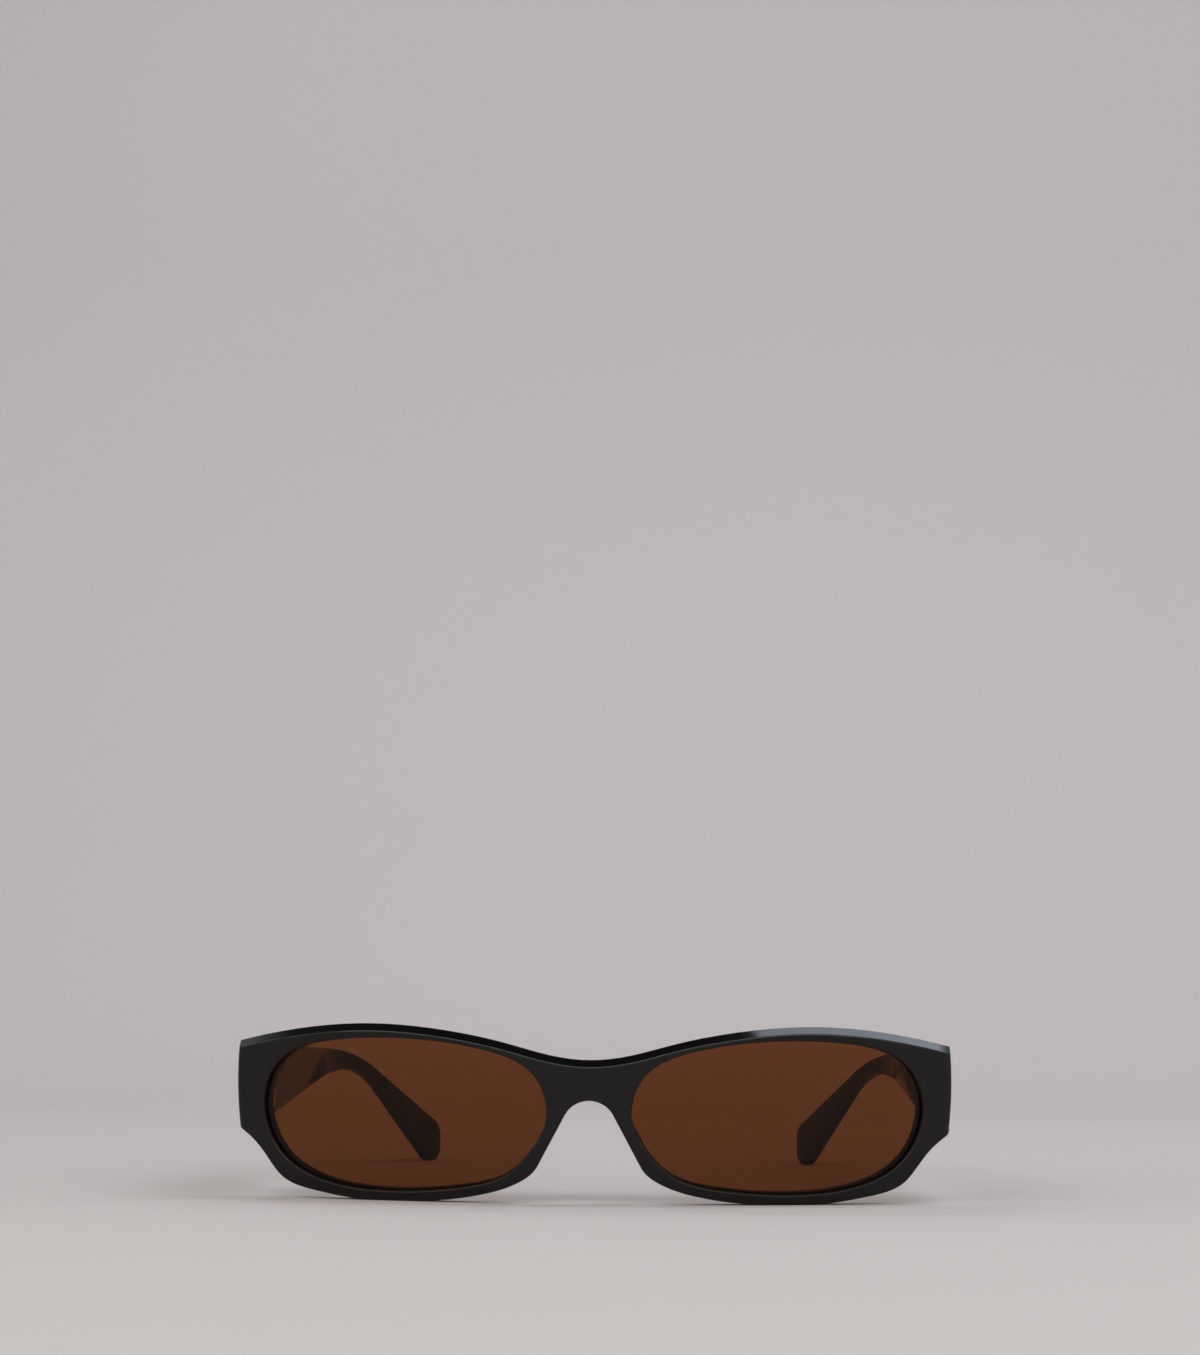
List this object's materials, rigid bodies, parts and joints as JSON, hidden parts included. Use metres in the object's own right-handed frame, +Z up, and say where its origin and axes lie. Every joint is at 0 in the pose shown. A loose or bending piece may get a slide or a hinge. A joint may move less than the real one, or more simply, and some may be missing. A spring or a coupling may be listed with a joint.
{
  "type": "sunglasses",
  "caption": "Narrow rectangular sunglasses with a wrapped glossy black acetate front, brown lenses and temples that fold on barrel hinges.",
  "frame": {"origin": "bottom centre of the box round the open glasses, at the level that the rims and the temple tips stand on", "axes": "+Z up, -Y the way the lenses face, +X to the wearer's left"},
  "size_m": [0.138, 0.1466, 0.0335],
  "materials": {
    "acetate": "polished",
    "lens": "polished, see-through brown",
    "hinge": "satin",
    "screw": "polished",
    "wire": "drawn"
  },
  "bodies": {
    "front": {"front_frame": "acetate", "lens_left": "lens", "lens_right": "lens", "nose_pad_left": "acetate", "nose_pad_right": "acetate", "front_hinge_left": "hinge", "front_hinge_right": "hinge", "hinge_screw_left": "screw", "hinge_screw_right": "screw"},
    "left_temple": {"temple_left": "acetate", "temple_hinge_left": "hinge", "core_wire_left": "wire"},
    "right_temple": {"temple_right": "acetate", "temple_hinge_right": "hinge", "core_wire_right": "wire"}
  },
  "joints": [
    {"name": "temple_fold_left", "type": "hinge", "parent": "front", "child": "left_temple", "pos_m": [0.0639, -0.05129, 0.02155], "axis": [0, 0, 1], "range_deg": [0, 80]},
    {"name": "temple_fold_right", "type": "hinge", "parent": "front", "child": "right_temple", "pos_m": [-0.0639, -0.05129, 0.02155], "axis": [0, 0, -1], "range_deg": [0, 68]}
  ]
}
